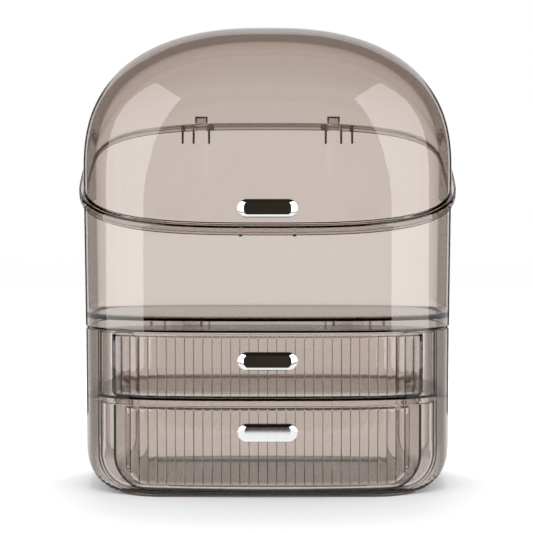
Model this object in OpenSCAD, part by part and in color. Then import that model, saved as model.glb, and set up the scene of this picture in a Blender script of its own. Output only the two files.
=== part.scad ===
// Countertop makeup organizer in smoked clear plastic: a cabinet with two
// reeded drawers, an open case on top of it, and a dome lid on two hinges.
// Origin: centre of the foot, on the surface that it stands on.
// +X is to the right, the drawers open towards -Y, +Z is up.

/* [Overall] */
// Width of the upper case, under its rim
case_w = 295; // [245:1:354]
// Depth of the upper case, front to back
case_d = 200; // [166:1:240]
// Height of the cabinet with its top plate, above the foot
cabinet_h = 125.7; // [112:0.1:151]
// Height of the upper case, from the cabinet to the base of the dome
case_h = 122.3; // [102:0.1:147]
// Height of the dome above its base
dome_h = 114.5; // [95:0.5:138]

/* [Outline] */
// Fullness of the plan outline across the width
plan_px = 3; // [2:0.1:4]
// Fullness of the plan outline front to back
plan_py = 3.5; // [2.5:0.1:4.5]
// Fullness of the dome seen from the front
dome_ex = 2.5; // [2:0.05:3]
// Fullness of the dome's shoulders seen from the front
dome_px = 2.4; // [2:0.05:3]
// Fullness of the dome seen from the side
dome_ey = 3.4; // [2.5:0.1:4.5]

/* [Walls] */
// Wall of the upper case and of the cabinet
wall = 2.2; // [1.6:0.01:3]
// Wall of the lid
lid_wall = 2; // [1.5:0.1:3]
// Draft of the upper case's wall, in degrees
case_draft = 0.7; // [0:0.1:1.2]
// Thickness of the upper case's floor
case_floor = 2.2; // [1.6:0.1:3]
// Height of the skirt below that floor
skirt_h = 7.8; // [6.5:0.1:10]

/* [Rim] */
// Slope of the plane where the lid meets the case, in degrees
rim_tilt = 23.6; // [15:0.01:28]
// Height of that plane over the base of the dome, at mid depth
rim_raise = 1.8; // [0:0.1:4]
// How far the rim stands out from the wall
rim_out = 3.2; // [2:0.1:5]
// Height of the rim's turned-down edge
rim_h = 7.2; // [5:0.1:10]
// Thickness of the rim
rim_t = 1.6; // [1.2:0.1:2.5]
// Gap between the rim and the lid's edge
rim_gap = 0.3; // [0.2:0.05:0.5]
// Height of the lip that stands inside the lid
lip_h = 3; // [2:0.1:4]
// Thickness of that lip
lip_t = 1.4; // [1:0.1:2]
// Gap between the lip and the lid
lip_gap = 1.2; // [1:0.1:2]
// How far the ledge under the lip reaches past it
ledge_in = 1.2; // [0.6:0.1:2]
// Distance of the two keys on the rim's front from the middle
key_x = 20.5; // [12:0.5:30]
// Width of a key
key_w = 2.6; // [1.6:0.1:4]
// How far a key stands out from the rim
key_out = 0.5; // [0.3:0.1:1]

/* [Cabinet] */
// How far the cabinet's wall stands inside the case's wall
cabinet_step = 1.2; // [0.6:0.1:1.6]
// Radius of the cabinet's lower side corners
corner_r = 35; // [29:1:42]
// How far the front opening's sides stand in from the cabinet's sides
opening_in = 13.6; // [10:0.1:20]
// Radius of the opening's lower corners
opening_r = 26; // [20:1:30]
// Thickness of the plate that closes the cabinet's top
top_plate_t = 1.9; // [1.6:0.1:3]
// Height of the middle shelf's underside above the cabinet's underside
shelf_up = 71.8; // [60:0.1:80]
// Thickness of the middle shelf
shelf_t = 1.9; // [1.6:0.1:3]
// Height of the shelf's turned-down front edge
shelf_lip = 3.4; // [2.5:0.1:5]
// Gap between the shelf and the cabinet's wall
shelf_gap = 0.3; // [0.2:0.1:0.6]
// Thickness of the guides under the shelf that keep the lower drawer from tipping
guide_t = 1.6; // [1.2:0.1:2]
// Width of the ledges that carry the shelf
ledge_w = 4; // [3:0.1:6]
// Thickness of those ledges
ledge_t = 2; // [1.5:0.1:3]

/* [Foot] */
// Height of the foot
foot_h = 2; // [1.6:0.1:4]
// How far the foot stands back from the cabinet's sides
foot_side = 25.8; // [22:0.1:34]
// How far the foot stands back from the cabinet's front and back
foot_front = 3; // [2:0.1:8]
// Radius of the foot's corners
foot_r = 40; // [30:1:46]

/* [Drawers] */
// Gap between a drawer's front and the edges of its opening
front_gap = 0.6; // [0.4:0.1:1]
// Gap under a drawer
glide_gap = 0.4; // [0.3:0.1:0.6]
// Gap over a drawer's front
head_gap = 0.8; // [0.6:0.1:1.5]
// Thickness of the fronts, behind the reeds
front_t = 2.4; // [1.8:0.1:3]
// How far the front's ends reach back past that thickness
front_return = 5; // [2:0.5:8]
// How far the trays' sides stand in from the cabinet's sides
tray_in = 26.3; // [22:0.1:32]
// Wall of the trays
tray_wall = 2; // [1.6:0.1:3]
// Floor of the trays
tray_floor = 2; // [1.6:0.1:3]
// How far a tray's sides stay below the top of its front
tray_drop = 9; // [5:0.5:14]
// Radius of a tray's back corners
tray_r = 30; // [20:1:36]
// Gap between a tray's back corners and the cabinet's wall
back_gap = 3; // [2:0.5:6]

/* [Reeds] */
// Width of one reed
reed_w = 7.04; // [5:0.01:9]
// How far a reed stands out
reed_out = 1; // [0.6:0.1:1.4]
// Least plain margin beside the upper drawer's reeds
upper_margin = 10.5; // [8:0.1:20]
// Plain margin beside the lower drawer's reeds
lower_margin = 21.8; // [15:0.1:30]
// Plain strip above the reeds, and below them on the upper drawer
reed_top = 1.4; // [1:0.1:4]
// Plain strip below the reeds on the lower drawer
reed_foot = 4; // [3:0.1:8]
// Radius of the reeded field's lower corners on the upper drawer
upper_field_r = 3; // [1:0.5:6]
// Radius of the reeded field's lower corners on the lower drawer
lower_field_r = 17; // [8:0.5:24]
// How far the flutes on the shelf's front edge stand out
flute_out = 0.5; // [0.3:0.1:0.8]

/* [Hinges] */
// Distance of each hinge from the middle
hinge_x = 57.5; // [45:0.5:75]
// How far the hinge axis lies below the rim's plane at the back wall
hinge_down = 3.5; // [2:0.1:5]
// Distance of the hinge axis behind the case's wall
hinge_back = 8; // [7:0.5:10]
// Radius of the hinge pins
pin_r = 1.5; // [1.2:0.05:2]
// Radial play of the pins
pin_play = 0.05; // [0.02:0.01:0.09]
// Radius of the hinge barrels
barrel_r = 3.6; // [3.2:0.1:4.5]
// Width of the lid's knuckle
knuckle_w = 10.8; // [8:0.1:14]
// Thickness of the case's lugs
lug_t = 1.8; // [1.4:0.1:3]
// Gap between the knuckle and the lugs
lug_gap = 0.4; // [0.3:0.1:0.8]
// Clear space between a hinge's outermost two lugs
lug_space = 7.7; // [5:0.1:12]
// How far a lug's root reaches below the hinge axis
lug_drop = 15; // [10:0.5:20]

/* [Pulls] */
// Width of a pull
pull_w = 45.5; // [38:0.5:54]
// Height of a pull
pull_h = 14; // [11:0.5:16]
// How far a pull stands out
pull_out = 4; // [3:0.1:6]
// Width of a pull's bevel above and below its flat field
pull_bevel = 2.2; // [1.5:0.1:3]
// Width of a pull's bevel at its ends
pull_end_bevel = 5.2; // [4:0.1:7]
// Radius of the flat field's corners
pull_field_r = 2.5; // [1:0.1:2.5]
// Gap behind a pull
seat_gap = 0.1; // [0.05:0.05:0.2]
// Height of the lid's pull over the lid's lower edge, to its middle
lid_pull_up = 12.6; // [10:0.1:30]
// Distance of the upper drawer's pull below its front's top, to its middle
upper_pull_down = 20.6; // [10:0.1:30]
// Distance of the lower drawer's pull below its front's top, to its middle
lower_pull_down = 19.8; // [10:0.1:40]

/* [Clips] */
// Distance of each snap clip from the middle
clip_x = 64.3; // [50:0.1:75]
// Width of a snap clip
clip_w = 18; // [14:0.5:20]
// Thickness of a snap clip
clip_t = 1.8; // [1.4:0.1:2.5]
// Gap over a snap clip
clip_gap = 0.9; // [0.6:0.1:2]
// Width of the frame round a clip's window
clip_frame = 1.3; // [1:0.1:2]
// Play of the clips inside the skirt, and of the nibs in the clips' windows
clip_play = 0.5; // [0.3:0.1:0.8]
// Distance of the inner locating ribs from the middle
inner_rib_x = 50.4; // [44:0.1:52]
// Distance of the outer locating ribs from the middle
outer_rib_x = 88.8; // [78:0.1:95]
// Thickness of a locating rib
rib_t = 1.6; // [1.2:0.1:2.4]
// Length of a locating rib
rib_l = 8; // [5:0.5:12]
// Gap under a locating rib
rib_gap = 3.2; // [1:0.1:4]

/* [Hidden] */

$fn = 48;
smoke = [0.62, 0.55, 0.51, 0.55];
smoke_dark = [0.52, 0.45, 0.41, 0.6];
bright = [0.85, 0.85, 0.86];

// Steps of the curves
plan_n = 96;
dome_steps = 13;
front_steps = 40;
corner_steps = 12;
reed_steps = 6;

// Length of a block that reaches past everything, and how far cuts and joins overrun
reach = 400;
over = 1;
eps = 0.05;

// Heights, from the foot to the crown
cab_z = foot_h;
cab_floor_z = cab_z + wall;
cab_top_z = cab_z + cabinet_h;
cab_wall_z = cab_top_z - top_plate_t;
shelf_z = cab_z + shelf_up;
shelf_top_z = shelf_z + shelf_t;
case_floor_z = cab_top_z + skirt_h;
case_in_z = case_floor_z + case_floor;
dome_z = cab_top_z + case_h;
crown_z = dome_z + dome_h;

// Half sizes of the outlines
case_a = case_w / 2;
case_b = case_d / 2;
case_foot_in = case_h * tan(case_draft);
cab_in = case_foot_in + cabinet_step;
cab_a = case_a - cab_in;
cab_b = case_b - cab_in;

// Drawers, in the openings above and below the shelf
opening_half = cab_a - opening_in;
front_half = opening_half - front_gap;
lower_z = cab_floor_z + glide_gap;
lower_top_z = shelf_z - shelf_lip - head_gap;
upper_z = shelf_top_z + glide_gap;
upper_top_z = cab_wall_z - head_gap;
tray_half = cab_a - tray_in;
tray_back_x = tray_half - tray_r * (1 - cos(45));
tray_back_y = (cab_b - wall - back_gap)
  * pow(1 - pow(tray_back_x / (cab_a - wall - back_gap), plan_px), 1 / plan_py)
  + tray_r * (1 - cos(45));
guide_x = tray_half - tray_wall / 2 - guide_t / 2;

// Reeds: whole ones on the upper drawer, the outermost ones cut on the lower
upper_reeds = 2 * floor((front_half - upper_margin) / reed_w);
upper_field = upper_reeds * reed_w / 2;
lower_field = front_half - lower_margin;
lower_reeds = 2 * ceil(lower_field / reed_w);

// Rim, hinges and clips
rim_slope = tan(rim_tilt);
rim_z0 = dome_z + rim_raise;
hinge_y = case_b + hinge_back;
hinge_z = rim_z0 + case_b * rim_slope - hinge_down;
lug_in_x = knuckle_w / 2 + lug_gap;
outer_lug_x = lug_in_x + lug_t + lug_space;
clip_in = case_foot_in + wall + clip_play;
clip_h = skirt_h - clip_gap;
window_z = cab_top_z + clip_h / 2 - clip_frame / 2;
lid_front_z = rim_z0 - case_b * rim_slope;

// A point on the plan outline, at angle t, for half sizes a and b
function plan_pt(a, b, t) =
  let (c = cos(t), s = sin(t), d = pow(abs(c), plan_px) + pow(abs(s), plan_py))
  [a * c / pow(d, 1 / plan_px), b * s / pow(d, 1 / plan_py)];

// The plan outline, with half sizes a and b
function plan(a, b) = [for (i = [0 : plan_n - 1]) plan_pt(a, b, 360 * i / plan_n)];

// Where the plan outline's front lies at x
function front_y(x, a, b) =
  -b * pow(max(0, 1 - pow(abs(x) / a, plan_px)), 1 / plan_py);

// A point on the case and dome surface, moved inwards by inset, at height z
function skin_pt(inset, t, z) =
  let (h = max(0, z - dome_z) / (dome_h - inset),
       low = max(0, dome_z - z) * tan(case_draft),
       p = plan_pt(case_a - inset - low, case_b - inset - low, t))
  [p.x * pow(max(0, 1 - pow(h, dome_ex)), 1 / dome_px),
   p.y * pow(max(0, 1 - pow(h, dome_ey)), 1 / plan_py),
   z];

// How far back that surface lies at x, at height z
function skin_y(inset, x, z) =
  let (h = max(0, z - dome_z) / (dome_h - inset),
       a = (case_a - inset) * pow(1 - pow(h, dome_ex), 1 / dome_px),
       b = (case_b - inset) * pow(1 - pow(h, dome_ey), 1 / plan_py))
  b * pow(1 - pow(x / a, plan_px), 1 / plan_py);

// The height at which that surface meets the rim's plane, raised by up
function rim_z(inset, t, up, z = dome_z, tries = 5) =
  tries == 0 ? z
  : rim_z(inset, t, up, rim_z0 + up + rim_slope * skin_pt(inset, t, z).y, tries - 1);

// A loop of that surface, a share f of the way from height z0 to the rim's plane
function rise_loop(inset, z0, f, up = 0) =
  [for (i = [0 : plan_n - 1])
    let (t = 360 * i / plan_n, z = rim_z(inset, t, up))
    skin_pt(inset, t, z0 + (z - z0) * f)];

// A loop of that surface, a share f of the way from the rim's plane to the crown
function dome_loop(inset, f, up) =
  [for (i = [0 : plan_n - 1])
    let (t = 360 * i / plan_n, z = rim_z(inset, t, up))
    skin_pt(inset, t, z + (crown_z - inset - z) * sin(90 * f))];

// A solid skinned over loops of equal length, with a point at each end
module capped_skin(loops, start, end) {
  n = len(loops[0]);
  m = len(loops);
  points = concat([start], [for (l = loops) each l], [end]);
  last = len(points) - 1;
  faces = concat(
    [for (j = [0 : n - 1]) [0, 1 + j, 1 + (j + 1) % n]],
    [for (i = [0 : m - 2], j = [0 : n - 1])
      let (a = 1 + i * n + j, b = 1 + i * n + (j + 1) % n)
      each [[a, a + n, b + n], [a, b + n, b]]],
    [for (j = [0 : n - 1])
      [last, 1 + (m - 1) * n + (j + 1) % n, 1 + (m - 1) * n + j]]
  );
  polyhedron(points, faces);
}

// A ring skinned over loops of equal length, the last one joined to the first
module ring_skin(loops) {
  n = len(loops[0]);
  m = len(loops);
  faces = [for (i = [0 : m - 1], j = [0 : n - 1])
    let (k = (i + 1) % m, a = i * n + j, b = i * n + (j + 1) % n,
         c = k * n + j, d = k * n + (j + 1) % n)
    each [[a, c, d], [a, d, b]]];
  polyhedron([for (l = loops) each l], faces);
}

// The plan outline's prism, moved inwards from the case's outline
module plan_prism(inset, z0, z1) {
  translate([0, 0, z0])
    linear_extrude(z1 - z0) polygon(plan(case_a - inset, case_b - inset));
}

// A wall that follows the plan outline, between two insets
module plan_wall(outer, inner, z0, z1) {
  difference() {
    plan_prism(outer, z0, z1);
    plan_prism(inner, z0 - over, z1 + over);
  }
}

// A block between two corners
module block(x0, x1, y0, y1, z0, z1) {
  translate([x0, y0, z0]) cube([x1 - x0, y1 - y0, z1 - z0]);
}

// A block from x0 to x1, on the front half (end -1) or on the back half (end 1)
module half_block(x0, x1, end, z0, z1) {
  y0 = end < 0 ? -reach / 2 : 0;
  block(x0, x1, y0, y0 + reach / 2, z0, z1);
}

// A trough seen from the front: upright sides, round lower corners, running front to back
module trough(half, z0, z1, r) {
  right = concat([[half, z1]], [for (i = [0 : corner_steps])
    let (t = 90 * i / corner_steps) [half - r + r * cos(t), z0 + r - r * sin(t)]]);
  left = [for (i = [len(right) - 1 : -1 : 0]) [-right[i].x, right[i].y]];
  rotate([90, 0, 0]) linear_extrude(reach, center = true) polygon(concat(right, left));
}

// The space between two planes that run along the rim, as heights over the rim's plane
module rim_slab(low, high) {
  translate([0, 0, rim_z0])
    rotate([rim_tilt, 0, 0])
      translate([-reach / 2, -reach / 2, low * cos(rim_tilt)])
        cube([reach, reach, (high - low) * cos(rim_tilt)]);
}

// A copy on the left and one on the right
module both_sides() {
  children();
  mirror([1, 0, 0]) children();
}

// Stadium slab that stands out from a front wall, from y0 to y1
module stadium(w, h, y0, y1) {
  run = (w - h) / 2;
  translate([0, y1, 0]) rotate([90, 0, 0]) {
    translate([-run, 0, 0]) cylinder(d = h, h = y1 - y0);
    translate([run, 0, 0]) cylinder(d = h, h = y1 - y0);
    translate([-run, -h / 2, 0]) cube([2 * run, h, y1 - y0]);
  }
}

// Bevelled cap of a pull, from the stadium's outline at y1 to its flat field at y0
module pull_cap(y0, y1) {
  skin = 0.1;
  field_x = pull_w / 2 - pull_end_bevel - pull_field_r;
  field_z = pull_h / 2 - pull_bevel - pull_field_r;
  hull() {
    stadium(pull_w, pull_h, y1 - skin, y1);
    for (x = [-field_x, field_x], z = [-field_z, field_z])
      translate([x, y0 + skin, z]) rotate([90, 0, 0]) cylinder(r = pull_field_r, h = skin, $fn = 32);
  }
}

// A pull in front of a wall whose outline is moved inwards by inset
module pull(z, inset) {
  front = case_b - inset;
  edge_y = -front - pull_out / 2;
  color(bright) difference() {
    translate([0, 0, z]) {
      stadium(pull_w, pull_h, edge_y, -front + pull_out / 2);
      pull_cap(-front - pull_out, edge_y);
    }
    plan_prism(inset - seat_gap, z - pull_h, z + pull_h);
  }
}

// Outline of a drawer's front between two insets, with reeds when out is over 0
module front_outline(half, inset, depth, reeds = 0, out = 0) {
  a = case_a - inset;
  b = case_b - inset;
  n = reeds > 0 ? reeds * reed_steps : front_steps;
  outer = [for (i = [0 : n])
    let (x = -half + 2 * half * i / n,
         u = 2 * (i % reed_steps) / reed_steps - 1,
         bump = i == n ? 0 : out * (1 - u * u))
    [x, front_y(x, a, b) - bump]];
  inner = [for (i = [front_steps : -1 : 0])
    let (x = -half + 2 * half * i / front_steps)
    [x, front_y(x, a - depth, b - depth)]];
  polygon(concat(outer, inner));
}

// Plan of a tray behind its front, moved inwards by inset
module tray_outline(inset, face) {
  half = tray_half - inset;
  back = tray_back_y - inset;
  r = tray_r - inset;
  front = [for (i = [0 : front_steps])
    let (x = -half + 2 * half * i / front_steps)
    [x, front_y(x, case_a - face, case_b - face)]];
  right = [for (i = [0 : corner_steps])
    let (t = 90 * i / corner_steps) [half - r + r * cos(t), back - r + r * sin(t)]];
  left = [for (i = [0 : corner_steps])
    let (t = 90 * i / corner_steps) [-half + r - r * sin(t), back - r + r * cos(t)]];
  polygon(concat(front, right, left));
}

// A drawer: curved reeded front and the tray behind it
module drawer(z0, z1, reeds, field, field_z, field_r, corner) {
  face = cab_in + reed_out;
  difference() {
    union() {
      intersection() {
        translate([0, 0, z0]) linear_extrude(z1 - z0)
          front_outline(front_half, face, front_t + front_return);
        trough(front_half, z0, z1 + over, corner);
      }
      intersection() {
        translate([0, 0, z0]) linear_extrude(z1 - z0 - reed_top)
          front_outline(reeds * reed_w / 2, face, front_t, reeds, reed_out);
        trough(field, field_z, z1 + over, field_r);
      }
      intersection() {
        translate([0, 0, z0]) linear_extrude(z1 - z0 - tray_drop)
          tray_outline(0, face + eps);
        trough(tray_half, z0, z1, corner);
      }
    }
    intersection() {
      translate([0, 0, z0 + tray_floor]) linear_extrude(z1 - z0)
        tray_outline(tray_wall, face + front_t);
      trough(tray_half - tray_wall, z0 + tray_floor, z1 + over, max(corner - tray_wall, upper_field_r));
    }
  }
}

// Flat foot under the cabinet
module foot_plate() {
  half_x = cab_a - foot_side - foot_r;
  half_y = cab_b - foot_front - foot_r;
  color(smoke_dark) {
    for (x = [-half_x, half_x], y = [-half_y, half_y])
      translate([x, y, 0]) cylinder(r = foot_r, h = foot_h, $fn = 96);
    block(-half_x, half_x, -half_y - foot_r, half_y + foot_r, 0, foot_h);
    block(-half_x - foot_r, half_x + foot_r, -half_y, half_y, 0, foot_h);
  }
}

// Housing of the drawers, open at the front and at the top
module cabinet_shell() {
  opening_depth = 0.6 * cab_b;
  color(smoke) {
    difference() {
      intersection() {
        plan_prism(cab_in, cab_z, cab_wall_z);
        trough(cab_a + over, cab_z, cab_wall_z + over, corner_r + over);
      }
      intersection() {
        plan_prism(cab_in + wall, cab_floor_z, cab_wall_z + over);
        trough(cab_a - wall + over, cab_floor_z, cab_top_z, corner_r + over - wall);
      }
      intersection() {
        trough(opening_half, cab_floor_z, cab_top_z, opening_r);
        block(-cab_a, cab_a, -reach / 2, opening_depth - cab_b, 0, reach);
      }
    }
    shelf_ledges();
  }
}

// Ledges on the cabinet's side walls that carry the middle shelf
module shelf_ledges() {
  half_y = 0.55 * cab_b;
  both_sides() intersection() {
    plan_wall(cab_in + wall / 2, cab_in + wall + ledge_w, shelf_z - ledge_t, shelf_z);
    block(0, reach, -half_y, half_y, 0, reach);
  }
}

// Plate that closes the cabinet's top, with the snap clips for the case
module cabinet_top_plate() {
  color(smoke_dark) {
    plan_prism(cab_in, cab_wall_z, cab_top_z);
    for (side = [-1, 1], end = [-1, 1])
      snap_clip(side * clip_x, end);
  }
}

// Snap clip at x: a tongue with a window, at the front (end -1) or the back (end 1)
module snap_clip(x, end) {
  half = clip_w / 2;
  difference() {
    intersection() {
      plan_wall(clip_in, clip_in + clip_t, cab_top_z - eps, cab_top_z + clip_h);
      half_block(x - half, x + half, end, 0, reach);
    }
    half_block(x - half + clip_frame, x + half - clip_frame, end,
      window_z, cab_top_z + clip_h - clip_frame);
  }
}

// Nib on the case's skirt that catches in a snap clip's window
module snap_nib(x, end) {
  half = clip_w / 2 - clip_frame - clip_play;
  intersection() {
    plan_wall(case_foot_in + wall / 2, clip_in + clip_t / 2,
      window_z + clip_play, cab_top_z + clip_h - clip_frame - clip_play);
    half_block(x - half, x + half, end, 0, reach);
  }
}

// Shelf between the drawers, with its front edge turned down and fluted like the drawers
module middle_shelf() {
  front_in = cab_in + seat_gap;
  edge_depth = 6;
  color(smoke_dark) {
    plan_prism(cab_in + wall + shelf_gap, shelf_z, shelf_top_z);
    translate([0, 0, shelf_z])
      linear_extrude(shelf_t) front_outline(front_half, front_in, wall + edge_depth);
    translate([0, 0, shelf_z - shelf_lip]) linear_extrude(shelf_lip + eps) {
      front_outline(front_half, front_in + flute_out, wall);
      front_outline(upper_field, front_in + flute_out, wall, upper_reeds, flute_out);
    }
    both_sides() block(guide_x, guide_x + guide_t, -0.7 * cab_b, 0.5 * cab_b,
      shelf_z - shelf_lip, shelf_z + eps);
  }
}

// Open case on top of the cabinet, with its rim, skirt and hinge lugs
module upper_case() {
  color(smoke) {
    difference() {
      union() {
        case_wall();
        case_rim();
      }
      plan_prism(case_foot_in + wall, cab_top_z - over, case_floor_z);
      hinge_notches();
    }
    case_lip();
    for (side = [-1, 1], end = [-1, 1])
      snap_nib(side * clip_x, end);
    for (x = [inner_rib_x, outer_rib_x])
      both_sides() locating_rib(x);
    both_sides() translate([hinge_x, 0, 0]) hinge_lugs();
  }
}

// Wall and floor of the upper case, up into the rim's ledge
module case_wall() {
  up = -0.6 * rim_t;
  rises = [0, 0.6, 0.85, 1];
  outside = [for (f = rises) rise_loop(0, cab_top_z, f, up)];
  inside = [for (i = [len(rises) - 1 : -1 : 0]) rise_loop(wall, case_in_z, rises[i], up)];
  capped_skin(concat(outside, inside), [0, 0, cab_top_z], [0, 0, case_in_z]);
}

// Rim round the case's mouth: a ledge, a turned-down edge and two keys on it
module case_rim() {
  intersection() {
    plan_wall(-rim_out, lid_wall + lip_gap + lip_t + ledge_in, cab_top_z, crown_z);
    rim_slab(-rim_t, 0);
  }
  intersection() {
    union() {
      plan_wall(-rim_out, -rim_out + rim_t, cab_top_z, crown_z);
      both_sides() intersection() {
        plan_wall(-rim_out - key_out, -rim_out + rim_t, cab_top_z, crown_z);
        half_block(key_x - key_w / 2, key_x + key_w / 2, -1, 0, reach);
      }
    }
    rim_slab(-rim_h, 0);
  }
}

// Lip that stands on the rim, inside the lid
module case_lip() {
  outer = lid_wall + lip_gap;
  foot = -0.3 * rim_t;
  ring_skin([
    rise_loop(outer, cab_top_z, 1, foot),
    rise_loop(outer, cab_top_z, 1, lip_h),
    rise_loop(outer + lip_t, cab_top_z, 1, lip_h),
    rise_loop(outer + lip_t, cab_top_z, 1, foot)
  ]);
}

// Gaps in the rim for the lid's knuckles
module hinge_notches() {
  start = skin_y(0, hinge_x - lug_in_x, hinge_z) + rim_gap;
  both_sides()
    block(hinge_x - lug_in_x, hinge_x + lug_in_x, start, reach / 2, dome_z, crown_z);
}

// Ribs under the case's floor at x, front and back, that stiffen the skirt
module locating_rib(x) {
  y = -front_y(x, case_a - case_foot_in - wall, case_b - case_foot_in - wall);
  for (side = [0, 1]) mirror([0, side, 0])
    block(x - rib_t / 2, x + rib_t / 2, y - rib_l, y + wall / 4,
      cab_top_z + rib_gap, case_floor_z + eps);
}

// Lugs on the case that hold one hinge pin, about x = 0
module hinge_lugs() {
  for (x = [-lug_in_x - lug_t, lug_in_x, outer_lug_x])
    translate([x, 0, 0]) hinge_lug(x);
}

// One lug: a tapering plate with a round eye, and its bore
module hinge_lug(x) {
  root = skin_y(wall * 0.6, hinge_x + x + lug_t, hinge_z);
  foot_w = 3;
  difference() {
    union() {
      translate([0, hinge_y, hinge_z]) rotate([0, 90, 0]) cylinder(r = barrel_r, h = lug_t);
      rotate([90, 0, 90]) linear_extrude(lug_t) polygon([
        [root, hinge_z - lug_drop],
        [root + foot_w, hinge_z - lug_drop],
        [hinge_y + barrel_r * cos(20), hinge_z - barrel_r * sin(20)],
        [hinge_y, hinge_z + barrel_r],
        [hinge_y - barrel_r, hinge_z + barrel_r * 0.4],
        [root, hinge_z - foot_w]
      ]);
    }
    translate([-over, hinge_y, hinge_z]) rotate([0, 90, 0])
      cylinder(r = pin_r + pin_play, h = lug_t + 2 * over);
  }
}

// One hinge pin, through the lugs and the lid's knuckle
module hinge_pin(side) {
  start = -lug_in_x - lug_t;
  length = outer_lug_x + lug_t - start;
  x = side > 0 ? hinge_x + start : -hinge_x - start - length;
  color(smoke_dark) translate([x, hinge_y, hinge_z])
    rotate([0, 90, 0]) cylinder(r = pin_r, h = length);
}

// Dome lid with its two hinge knuckles
module lid_dome() {
  in_steps = dome_steps - 3;
  inside = [for (i = [in_steps - 1 : -1 : 0]) dome_loop(lid_wall, i / in_steps, rim_gap)];
  outside = [for (i = [0 : dome_steps - 1]) dome_loop(0, i / dome_steps, rim_gap)];
  color(smoke) {
    capped_skin(concat(inside, outside), [0, 0, crown_z - lid_wall], [0, 0, crown_z]);
    both_sides() translate([hinge_x, 0, 0]) lid_knuckle();
  }
}

// Knuckle on the lid's back edge, about x = 0
module lid_knuckle() {
  root = skin_y(lid_wall * 0.5, hinge_x + knuckle_w / 2, hinge_z + barrel_r);
  low = rim_z0 + rim_slope * root + 4 * rim_gap;
  high = low + lid_pull_up / 2;
  run = hinge_back * 0.7;
  difference() {
    union() {
      translate([-knuckle_w / 2, hinge_y, hinge_z]) rotate([0, 90, 0])
        cylinder(r = barrel_r, h = knuckle_w);
      translate([-knuckle_w / 2, 0, 0]) rotate([90, 0, 90]) linear_extrude(knuckle_w) polygon([
        [root, low],
        [root + run, low + run * rim_slope],
        [hinge_y - barrel_r * 0.8, hinge_z + over],
        [hinge_y, hinge_z + barrel_r],
        [root + hinge_back / 2, high],
        [root, high]
      ]);
    }
    translate([-knuckle_w, hinge_y, hinge_z]) rotate([0, 90, 0])
      cylinder(r = pin_r + pin_play, h = 2 * knuckle_w);
  }
}

// Pull on the front of the lid
module lid_pull() {
  z = lid_front_z + lid_pull_up;
  pull(z, max(0, dome_z - z) * tan(case_draft));
}

// Upper drawer, square-cornered
module upper_drawer_tray() {
  color(smoke)
    drawer(upper_z, upper_top_z, upper_reeds, upper_field, upper_z + reed_top, upper_field_r, eps);
}

// Pull on the upper drawer
module upper_drawer_pull() {
  pull(upper_top_z - upper_pull_down, cab_in);
}

// Lower drawer, with the round corners of its opening
module lower_drawer_tray() {
  color(smoke)
    drawer(lower_z, lower_top_z, lower_reeds, lower_field, lower_z + reed_foot, lower_field_r,
      opening_r - front_gap);
}

// Pull on the lower drawer
module lower_drawer_pull() {
  pull(lower_top_z - lower_pull_down, cab_in);
}

foot_plate();
cabinet_shell();
cabinet_top_plate();
middle_shelf();
upper_case();
hinge_pin(-1);  // hinge_pin_left
hinge_pin(1);  // hinge_pin_right
lid_dome();
lid_pull();
upper_drawer_tray();
upper_drawer_pull();
lower_drawer_tray();
lower_drawer_pull();
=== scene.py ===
import bmesh
import bpy
from math import copysign, cos, hypot, pi, radians, sin, sqrt, tan
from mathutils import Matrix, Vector


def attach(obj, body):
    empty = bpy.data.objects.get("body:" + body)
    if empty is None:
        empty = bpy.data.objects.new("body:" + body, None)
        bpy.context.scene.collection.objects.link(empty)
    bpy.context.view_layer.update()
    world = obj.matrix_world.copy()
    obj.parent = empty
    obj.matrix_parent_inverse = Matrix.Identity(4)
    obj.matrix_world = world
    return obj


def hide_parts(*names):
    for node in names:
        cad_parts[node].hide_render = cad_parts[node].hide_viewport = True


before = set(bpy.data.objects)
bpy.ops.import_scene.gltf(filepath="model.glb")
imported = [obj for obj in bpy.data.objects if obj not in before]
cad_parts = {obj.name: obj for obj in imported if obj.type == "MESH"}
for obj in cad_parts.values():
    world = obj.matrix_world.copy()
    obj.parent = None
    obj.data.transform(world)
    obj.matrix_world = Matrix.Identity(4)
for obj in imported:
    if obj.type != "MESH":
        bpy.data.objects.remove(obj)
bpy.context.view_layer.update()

# All sizes are in millimetres, the CAD model's own, and meshes are scaled by MM
MM = 0.001

# Plan outline of case, cabinet and dome: half width, half depth and exponents
CASE_A, CASE_B = 147.5, 100
PLAN_PX, PLAN_PY = 3, 3.5
# Exponents of the dome, seen from the front and from the side
DOME_EX, DOME_PX, DOME_EY = 2.5, 2.4, 3.4
DRAFT = tan(radians(0.7))
WALL, LID_WALL = 2.2, 2

# Steps round the plan outline, a lower corner, a quarter turn, a pull's corner and a rod
PLAN_N, CORNER_N, QUARTER_N, PULL_N, ROD_N = 288, 14, 24, 16, 48
# Steps along a strip, up the dome, and along a tray's front and sides
STRIP_N, DOME_N, TRAY_FRONT_N, TRAY_SIDE_N = 40, 52, 60, 8
# Where the middle of a rounded edge lies, as a share of its radius
ROUND_MID = 0.3
# How far joined solids and cutting tools reach past each other, and a tolerance
SINK, DEEP_SINK, END_SINK, PAST, BORE_PAST, CLOSE = 0.02, 0.05, 0.01, 10, 1, 0.01

# Heights
FOOT_H = 2
CAB_Z = 2
CAB_FLOOR_Z = 4.2
SHELF_Z, SHELF_TOP_Z = 73.8, 75.7
CAB_WALL_Z, CAB_TOP_Z = 125.8, 127.7
CASE_FLOOR_Z, CASE_IN_Z = 134.6, 136.4
DOME_Z, CROWN_Z = 250, 364.5
DOME_H = CROWN_Z - DOME_Z

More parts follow.
